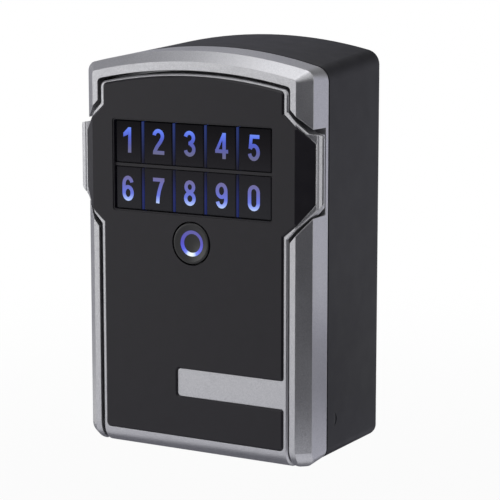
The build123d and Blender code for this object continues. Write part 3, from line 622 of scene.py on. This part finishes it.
# %% [markdown]
# ## Plastics, rubber, board and cell
# The door's inner cover is glass-filled plastic with a spark-eroded skin, the battery lid is the
# same with a finer skin, and the seal is matt rubber with a fine grain. The circuit board has a
# green solder mask over copper tracks, and the cell has a shrunk plastic sleeve.

# %% Finish the plastics and the rubber
cover_black = Finish("cover_black", screen(38, 38, 41), 0.55, Specular_IOR_Level=0.4)
# The lighter edge colours in this cell are a painted highlight.
cover_black.edges(screen(74, 74, 78), reach=0.3 * MM, amount=0.4)
cover_black.grain(0.35 * MM, 0.02 * MM, screen(44, 44, 47), rough=0.62)

lid_black = Finish("lid_black", screen(34, 34, 36), 0.5, Specular_IOR_Level=0.4)
lid_black.edges(screen(70, 70, 74), reach=0.25 * MM, amount=0.4)
lid_black.grain(0.22 * MM, 0.01 * MM, screen(39, 39, 41), rough=0.56)

insulator_black = Finish("insulator_black", screen(26, 26, 28), 0.45)
insulator_black.edges(screen(60, 60, 62), reach=0.15 * MM, amount=0.4)
insulator_black.grain(0.25 * MM, 0.006 * MM, screen(30, 30, 32), rough=0.52)

seal_rubber = Finish("seal_rubber", screen(28, 28, 29), 0.78, Specular_IOR_Level=0.3)
seal_rubber.edges(screen(46, 46, 47), reach=0.2 * MM, amount=0.4)
seal_rubber.grain(0.12 * MM, 0.012 * MM, screen(33, 33, 34), rough=0.85)
moulded = [cover_black, lid_black, insulator_black, seal_rubber]
print("plastics and rubber:", [finish.material.name for finish in moulded])

# %% Finish the board, its lamps and the cell
# The mortar lines of a brick pattern stand for the tracks under the mask.
TRACK_PITCH = 1.3 * MM
TRACK_SHARE = 0.16
TRACK_ROW = 0.5
board_green = Finish("board_green", screen(22, 92, 52), 0.32)
board_place = add_node(board_green.tree, "ShaderNodeTexCoord").outputs["Object"]
board_axes = add_node(board_green.tree, "ShaderNodeSeparateXYZ", {0: board_place}).outputs
laid = add_node(board_green.tree, "ShaderNodeCombineXYZ", {0: board_axes["X"], 1: board_axes["Z"]})
tracks = add_node(
    board_green.tree, "ShaderNodeTexBrick",
    {
        "Vector": laid.outputs[0], "Scale": 1 / TRACK_PITCH, "Mortar Size": TRACK_SHARE,
        "Row Height": TRACK_ROW,
    },
)
board_green.blend("Base Color", tracks.outputs["Fac"], screen(48, 128, 72))
board_green.relief(tracks.outputs["Fac"], 0.03 * MM)

lamp_clear = Finish("lamp_clear", screen(226, 230, 238), 0.2)
lamp_clear.grain(0.2 * MM, 0.004 * MM, screen(236, 234, 214), rough=0.26)

cell_low, cell_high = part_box("battery")
CELL_LENGTH = cell_high.x - cell_low.x
# The pale band at the cell's end begins and is full at these shares of its length.
BAND_BEGINS = 0.3
BAND_IS_FULL = 0.28
battery_wrap = Finish("battery_wrap", screen(54, 62, 84), 0.3)
cell_place = add_node(battery_wrap.tree, "ShaderNodeTexCoord").outputs["Object"]
along = add_node(battery_wrap.tree, "ShaderNodeSeparateXYZ", {0: cell_place}).outputs["X"]
band = map_range(
    battery_wrap.tree, along,
    cell_high.x - BAND_BEGINS * CELL_LENGTH, cell_high.x - BAND_IS_FULL * CELL_LENGTH,
)
battery_wrap.blend("Base Color", band, screen(186, 190, 196))
battery_wrap.grain(0.8 * MM, 0.01 * MM, screen(60, 68, 90), rough=0.36)
print("length of the cell in mm:", round(CELL_LENGTH / MM, 1))

# %% [markdown]
# ## Hang each finish on its nodes
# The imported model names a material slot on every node. Each new finish has the name of its slot,
# so one loop puts it on all nodes that use it, and says so if a node is left without one.

# %% Assign the finishes
finishes = {}
for finish in (
    *metals, *moulded, case_paint, frame_silver, door_silver, face_black, button_black,
    key_black, light_guide, light_ring, board_green, lamp_clear, battery_wrap,
):
    finishes[finish.material.name.split(".")[0]] = finish.material

undressed = []
for name, node in nodes.items():
    for index, slot in enumerate(node.material_slots):
        wanted = slot.material.name.split(".")[0] if slot.material else ""
        if wanted in finishes:
            node.material_slots[index].material = finishes[wanted]
        else:
            undressed.append((name, wanted))
print("finishes:", len(finishes), "nodes without one:", undressed)

# %% [markdown]
# ## Drawing the digits
# The digits are a bold narrow face. A font file can't be read here, and Blender's own font has
# other shapes, so we draw them with strokes of one width along lines and arcs, plus a few
# straight-edged patches. The strokes of a digit overlap, so their outlines are merged into one
# flat shape before it gets its thickness.

# %% Strokes and arcs
# The drawings are in millimetres, from the lower left corner of a digit's box.
DIGIT_WIDTH = 4.3
DIGIT_HEIGHT = 8.1
STROKE = 1.22
BAR = 1.18
ARC_STEPS = 20


def arc(centre, radii, start, end):
    """Points on an ellipse from one angle to another, in degrees, anticlockwise from +x."""
    points = []
    for step in range(ARC_STEPS + 1):
        angle = math.radians(start + (end - start) * step / ARC_STEPS)
        across = centre[0] + radii[0] * math.cos(angle)
        up = centre[1] + radii[1] * math.sin(angle)
        points.append((across, up))
    return points


def stroke(points, closed=False):
    """Four-sided patches that together follow a line with the stroke's width."""
    line = [Vector(point) for point in points]
    count = len(line)
    sides = []
    for index, point in enumerate(line):
        before = line[index - 1] if index or closed else point
        after = line[(index + 1) % count] if index + 1 < count or closed else point
        along = (after - before).normalized()
        across = Vector((-along.y, along.x)) * STROKE / 2
        sides.append((point + across, point - across))
    pairs = list(zip(sides, sides[1:]))
    if closed:
        pairs.append((sides[-1], sides[0]))
    return [(a[0], a[1], b[1], b[0]) for a, b in pairs]


def patch(*corners):
    """One straight-edged patch."""
    return [tuple(Vector(corner) for corner in corners)]


def turned(patches):
    """The same patches turned half round in the digit's box."""
    centre = Vector((DIGIT_WIDTH, DIGIT_HEIGHT))
    return [tuple(centre - corner for corner in shape) for shape in patches]


print("stroke in mm:", STROKE, "digit height in mm:", DIGIT_HEIGHT)

# %% The ten shapes
MIDDLE = DIGIT_WIDTH / 2
INSET = STROKE / 2
SIDE = MIDDLE - INSET
TOP = DIGIT_HEIGHT


def draw_0():
    """A tall ring with straight sides."""
    bow = 1.8
    upper = arc((MIDDLE, TOP - INSET - bow), (SIDE, bow), 0, 180)
    lower = arc((MIDDLE, INSET + bow), (SIDE, bow), 180, 360)
    return stroke(upper + lower, closed=True)


def draw_1():
    """A stem with a flag that leans down to the left."""
    left, right = 2.25, 3.5
    stem = patch((left, 0), (right, 0), (right, TOP), (left + 0.25, TOP))
    flag = patch((0.55, 5.0), (left + 0.1, 5.75), (left + 0.25, TOP), (0.55, 6.25))
    return stem + flag


def draw_2():
    """An arc over the top, a slanted neck and a foot."""
    bow = arc((MIDDLE, 5.85), (SIDE, 1.64), 172, -30)
    neck = [(2.95, 4.1), (1.6, 2.35), (0.9, 1.1), (0.75, 0.5)]
    foot = patch((0.1, 0), (DIGIT_WIDTH + 0.05, 0), (DIGIT_WIDTH + 0.05, 1.2), (0.2, 1.2))
    return stroke(bow + neck) + foot


def draw_3():
    """Two bowls that meet in the middle."""
    upper = arc((MIDDLE - 0.05, 5.92), (SIDE - 0.08, 1.57), 168, -84)
    lower = arc((MIDDLE, 2.28), (SIDE, 1.67), 84, -168)
    waist = patch((1.75, 3.62), (2.5, 3.62), (2.5, 4.7), (1.75, 4.7))
    return stroke(upper) + stroke(lower) + waist


def draw_4():
    """A stem, a bar and a slope that leave a three-sided eye."""
    left, right, low, high = 2.5, 3.72, 1.78, 2.92
    stem = patch((left, 0), (right, 0), (right, TOP), (left, TOP))
    bar = patch((-0.1, low), (DIGIT_WIDTH + 0.25, low), (DIGIT_WIDTH + 0.25, high), (-0.1, high))
    slope = patch((-0.1, high - 0.3), (1.02, high - 0.3), (left + 0.1, 6.15), (left + 0.1, TOP))
    return stem + bar + slope


def draw_5():
    """A bar, a slanted side and one bowl."""
    left, right, low = 0.75, DIGIT_WIDTH - 0.2, TOP - BAR
    bar = patch((left, low), (right, low), (right, TOP), (left, TOP))
    side = patch((0.28, 3.75), (1.4, 3.75), (1.75, TOP - 0.6), (left, TOP))
    bowl = arc((MIDDLE - 0.02, 2.66), (SIDE, 2.05), 148, -167)
    return bar + side + stroke(bowl)


def draw_6():
    """A ring below, and a side that curves over its top."""
    ring = arc((MIDDLE, 2.56), (SIDE, 1.95), 0, 360)[:-1]
    back = [(INSET, 2.5)] + arc((MIDDLE, 5.35), (SIDE, TOP - INSET - 5.35), 180, 18)
    return stroke(ring, closed=True) + stroke(back)


def draw_7():
    """A bar and a leg that bends slightly."""
    left, right, low = 0.05, DIGIT_WIDTH, TOP - BAR
    bar = patch((left, low), (right, low), (right, TOP), (left, TOP))
    leg = [(3.68, 7.4), (3.05, 6.0), (2.35, 4.0), (1.9, 2.0), (1.75, 0.0)]
    return bar + stroke(leg)


def draw_8():
    """Two rings, the upper one smaller."""
    upper = arc((MIDDLE, 5.95), (SIDE - 0.15, 1.53), 0, 360)[:-1]
    lower = arc((MIDDLE, 2.3), (SIDE, 1.68), 0, 360)[:-1]
    return stroke(upper, closed=True) + stroke(lower, closed=True)


DRAWINGS = {
    "0": draw_0(), "1": draw_1(), "2": draw_2(), "3": draw_3(), "4": draw_4(),
    "5": draw_5(), "6": draw_6(), "7": draw_7(), "8": draw_8(), "9": turned(draw_6()),
}
print("patches in each digit:", {name: len(shape) for name, shape in DRAWINGS.items()})

# %% [markdown]
# ## From flat patches to thin solid digits
# A constrained triangulation cuts overlapping patches at their crossings and says which patches
# cover each triangle. The triangles that some patch covers make up the digit, holes stay open by
# themselves, and an extrusion turns the sheet into a print a few hundredths of a millimetre
# thick.

# %% Make the digits
PRINT_THICKNESS = 0.05 * MM
PRINT_SINK = 0.02 * MM
MERGE_DISTANCE = 0.0001
TRIANGLES_INSIDE = 1
DIGITS_IN_ROW = 5
COLUMN_PITCH = 11.6 * MM
# The x of the digits 3 and 8. They stand a little left of the box's middle.
MIDDLE_COLUMN = -0.9 * MM
UPPER_ROW_LIFT = 0.5 * MM
LOWER_ROW_LIFT = -0.15 * MM


def merged(patches):
    """Corners and triangles of the shape that overlapping patches cover."""
    corners = [corner for shape in patches for corner in shape]
    faces = []
    for shape in patches:
        start = sum(len(face) for face in faces)
        faces.append(list(range(start, start + len(shape))))
    points, _, triangles, _, _, covered_by = delaunay_2d_cdt(
        corners, [], faces, TRIANGLES_INSIDE, MERGE_DISTANCE
    )
    kept = [triangle for triangle, cover in zip(triangles, covered_by) if cover]
    return points, kept


def placed(sheet, name):
    """Turns a finished sheet into an object of the scene."""
    mesh = bpy.data.meshes.new(name)
    sheet.to_mesh(mesh)
    sheet.free()
    piece = bpy.data.objects.new(name, mesh)
    scene.collection.objects.link(piece)
    return piece


def make_digit(name):
    """A thin solid digit on the front of its key. The columns run 1 to 5 and 6 to 0."""
    low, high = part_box("key_" + name)
    from_middle = (int(name) - 1) % DIGITS_IN_ROW - DIGITS_IN_ROW // 2
    upper_row = low.z > (KEYS_LOW + KEYS_HIGH) / 2
    left = MIDDLE_COLUMN + from_middle * COLUMN_PITCH - MIDDLE * MM
    lift = UPPER_ROW_LIFT if upper_row else LOWER_ROW_LIFT
    bottom = (low.z + high.z) / 2 + lift - TOP / 2 * MM
    back = low.y + PRINT_SINK
    points, triangles = merged(DRAWINGS[name])
    sheet = bmesh.new()
    corners = []
    for point in points:
        corners.append(sheet.verts.new((left + point.x * MM, back, bottom + point.y * MM)))
    for triangle in triangles:
        sheet.faces.new([corners[index] for index in triangle])
    loose = [corner for corner in sheet.verts if not corner.link_faces]
    bmesh.ops.delete(sheet, geom=loose, context="VERTS")
    grown = bmesh.ops.extrude_face_region(sheet, geom=sheet.faces[:])
    moved = [item for item in grown["geom"] if isinstance(item, bmesh.types.BMVert)]
    bmesh.ops.translate(sheet, verts=moved, vec=(0.0, -PRINT_THICKNESS, 0.0))
    bmesh.ops.recalc_face_normals(sheet, faces=sheet.faces[:])
    digit = placed(sheet, "digit_" + name)
    digit.data.materials.append(digit_glow.material)
    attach(digit, "key_" + name)
    return digit


digits = [make_digit(name) for name in DRAWINGS]
print("digits:", [(digit.name, len(digit.data.polygons)) for digit in digits])

# %% [markdown]
# ## Floor and light
# A product picture has a plain white surround. The world is white for the camera, for reflections
# and for glass, and dimmer for the light that it casts, so that two large soft lamps give the box
# its shape.

# %% The floor
CLEARANCE = 55 * MM
FLOOR_RADIUS = 6.0
FLOOR_RINGS = 12
FLOOR_SIDES = 64
floor_height = cad_bounds[0][2] - CLEARANCE


def make_floor():
    """A round floor made of rings that get wider outwards."""
    sheet = bmesh.new()
    rings = []
    for ring in range(1, FLOOR_RINGS + 1):
        radius = FLOOR_RADIUS * (ring / FLOOR_RINGS) ** 2
        corners = []
        for side in range(FLOOR_SIDES):
            angle = 2 * math.pi * side / FLOOR_SIDES
            across, away = radius * math.cos(angle), radius * math.sin(angle)
            corners.append(sheet.verts.new((across, away, floor_height)))
        rings.append(corners)
    sheet.faces.new(rings[0])
    for inner, outer in zip(rings, rings[1:]):
        for side in range(FLOOR_SIDES):
            following = (side + 1) % FLOOR_SIDES
            sheet.faces.new((inner[side], outer[side], outer[following], inner[following]))
    return placed(sheet, "floor")


floor = make_floor()
print("floor at", round(floor_height / MM, 1), "mm")

# %% Paint the floor
SHADOW_KEPT = 0.1
# The kept shadow fades out between these two distances from the origin, in metres.
FADE_START = 0.15
FADE_END = 0.6
FLOOR_GREY = (0.9, 0.9, 0.9, 1.0)
FLOOR_ROUGHNESS = 0.9
FLOOR_GLOSS = 0.1


def seen_directly(tree):
    """1 for rays from the camera, a reflection or glass, and 0 for light that is cast."""
    path = add_node(tree, "ShaderNodeLightPath").outputs
    shiny = math_node(tree, "ADD", path["Is Glossy Ray"], path["Is Transmission Ray"], clamp=True)
    return math_node(tree, "ADD", path["Is Camera Ray"], shiny, clamp=True)


floor_paint = bpy.data.materials.new("floor_paint")
floor_paint.use_nodes = True
tree = floor_paint.node_tree
matt = tree.nodes["Principled BSDF"]
matt.inputs["Base Color"].default_value = FLOOR_GREY
matt.inputs["Roughness"].default_value = FLOOR_ROUGHNESS
matt.inputs["Specular IOR Level"].default_value = FLOOR_GLOSS
white = add_node(tree, "ShaderNodeEmission", {"Color": WHITE, "Strength": 1.0})
place = add_node(tree, "ShaderNodeTexCoord").outputs["Object"]
away = vector_node(tree, "LENGTH", place, output="Value")
least = 1.0 - SHADOW_KEPT
whiteness = map_range(tree, away, FADE_START, FADE_END, least, 1.0, kind="SMOOTHSTEP")
share = math_node(tree, "MULTIPLY", whiteness, seen_directly(tree))
mixed = add_node(tree, "ShaderNodeMixShader", {0: share, 1: matt.outputs[0], 2: white.outputs[0]})
tree.links.new(mixed.outputs[0], tree.nodes["Material Output"].inputs["Surface"])
floor.data.materials.append(floor_paint)
print("share of the floor's shadow that is kept near the box:", SHADOW_KEPT)

# %% The world
WORLD_CAST = 0.55
world = bpy.data.worlds.new("studio")
scene.world = world
world.use_nodes = True
tree = world.node_tree
strength = map_range(tree, seen_directly(tree), 0.0, 1.0, WORLD_CAST, 1.0)
background = tree.nodes["Background"]
background.inputs["Color"].default_value = WHITE
tree.links.new(strength, background.inputs["Strength"])
print("world strength for cast light:", WORLD_CAST)

# %% The soft lamps
# Azimuth and elevation in degrees, distance and size in metres, radiance.
LAMPS = {
    "front_lamp": (-54, 10, 1.3, 0.8, 1.5),
    "top_lamp": (-20, 74, 1.1, 0.8, 1.45),
}


def soft_lamp(name, azimuth, elevation, distance, size, radiance):
    """A square lamp that faces the box. Radiance is how bright its face looks, and 1 is white."""
    data = bpy.data.lights.new(name, "AREA")
    data.shape = "SQUARE"
    data.size = size
    data.energy = radiance * math.pi * size * size
    lamp = bpy.data.objects.new(name, data)
    scene.collection.objects.link(lamp)
    towards = direction(math.radians(azimuth), math.radians(elevation))
    lamp.location = PICTURE_CENTRE + towards * distance
    lamp.rotation_mode = "QUATERNION"
    lamp.rotation_quaternion = towards.to_track_quat("Z", "Y")
    return lamp


lamps = [soft_lamp(name, *values) for name, values in LAMPS.items()]
print("lamps:", [lamp.name for lamp in lamps])

# %% [markdown]
# ## Cards for the silver to mirror
# Silver paint has hardly a tone of its own: each facet shows what stands across from it. A
# photographer therefore puts cards round such an object, dark ones for the facets that should go
# dark and pale ones for those that should stay light. Ours are flat glowing sheets that only
# reflections see, so they cast no light and no shadow. A card close to the box makes a short
# fade, and a distant one a long fade.

# %% The cards
# Azimuth and elevation in degrees, distance, width and height in metres, and tone. Each comment
# says which way the facets face that mirror the card.
CARDS = {
    # To the right of the camera, level and downwards: both go dark.
    "right_card": (57, -8, 0.3, 0.42, 0.42, (0.02, 0.02, 0.03)),
    "right_low_card": (57, -33, 0.17, 0.24, 0.07, (0.05, 0.05, 0.06)),
    # To the left and upwards, and to the left and level.
    "left_card": (-90, 44, 0.4, 0.3, 0.3, (0.33, 0.33, 0.36)),
    "left_low_card": (-120, -8, 0.4, 0.36, 0.4, (0.32, 0.32, 0.36)),
    # Straight up.
    "rear_card": (-150, 20, 0.5, 0.5, 0.3, (0.22, 0.22, 0.28)),
    # Sideways and up, as the frame's upper right corner does.
    "corner_card": (172, 32, 0.4, 0.3, 0.2, (0.02, 0.02, 0.02)),
    # Sideways, from level to well downwards: the side strip and the leg under it.
    "side_card": (150, 2, 0.5, 0.4, 0.4, (0.72, 0.72, 0.83)),
    "side_middle_card": (133, -27, 0.135, 0.09, 0.032, (0.16, 0.16, 0.2)),
    "side_low_card": (150, -44, 0.16, 0.22, 0.08, (0.75, 0.75, 0.84)),
    # Right and down at the leg's foot, forward and down, and steeply down.
    "foot_card": (75, -62, 0.1, 0.06, 0.048, (1.0, 1.0, 1.06)),
    "front_low_card": (-45, -56, 0.117, 0.16, 0.11, (0.88, 0.88, 0.92)),
    # Painted shadow: the dark card steeply down stands for the box's shadow on the floor, as
    # reflections see it.
    "floor_shadow_card": (-115, -75, 0.115, 0.24, 0.2, (0.17, 0.17, 0.2)),
}


def make_card(name, azimuth, elevation, distance, width, height, tone):
    """A flat card that faces the box and is seen only in its reflections."""
    out = direction(math.radians(azimuth), math.radians(elevation))
    across = Vector((-out.y, out.x, 0.0)).normalized()
    up = across.cross(out)
    middle = PICTURE_CENTRE + out * distance
    sheet = bmesh.new()
    corners = []
    for side, rise in ((-1, -1), (1, -1), (1, 1), (-1, 1)):
        corners.append(sheet.verts.new(middle + across * width / 2 * side + up * height / 2 * rise))
    sheet.faces.new(corners)
    paint = bpy.data.materials.new(name + "_tone")
    paint.use_nodes = True
    tree = paint.node_tree
    tree.nodes.remove(tree.nodes["Principled BSDF"])
    glow = add_node(tree, "ShaderNodeEmission", {"Color": (*tone, 1.0), "Strength": 1.0})
    tree.links.new(glow.outputs[0], tree.nodes["Material Output"].inputs["Surface"])
    card = placed(sheet, name)
    card.data.materials.append(paint)
    card.visible_camera = False
    card.visible_diffuse = False
    card.visible_shadow = False
    return card


cards = [make_card(name, *values) for name, values in CARDS.items()]
print("cards:", [card.name for card in cards])
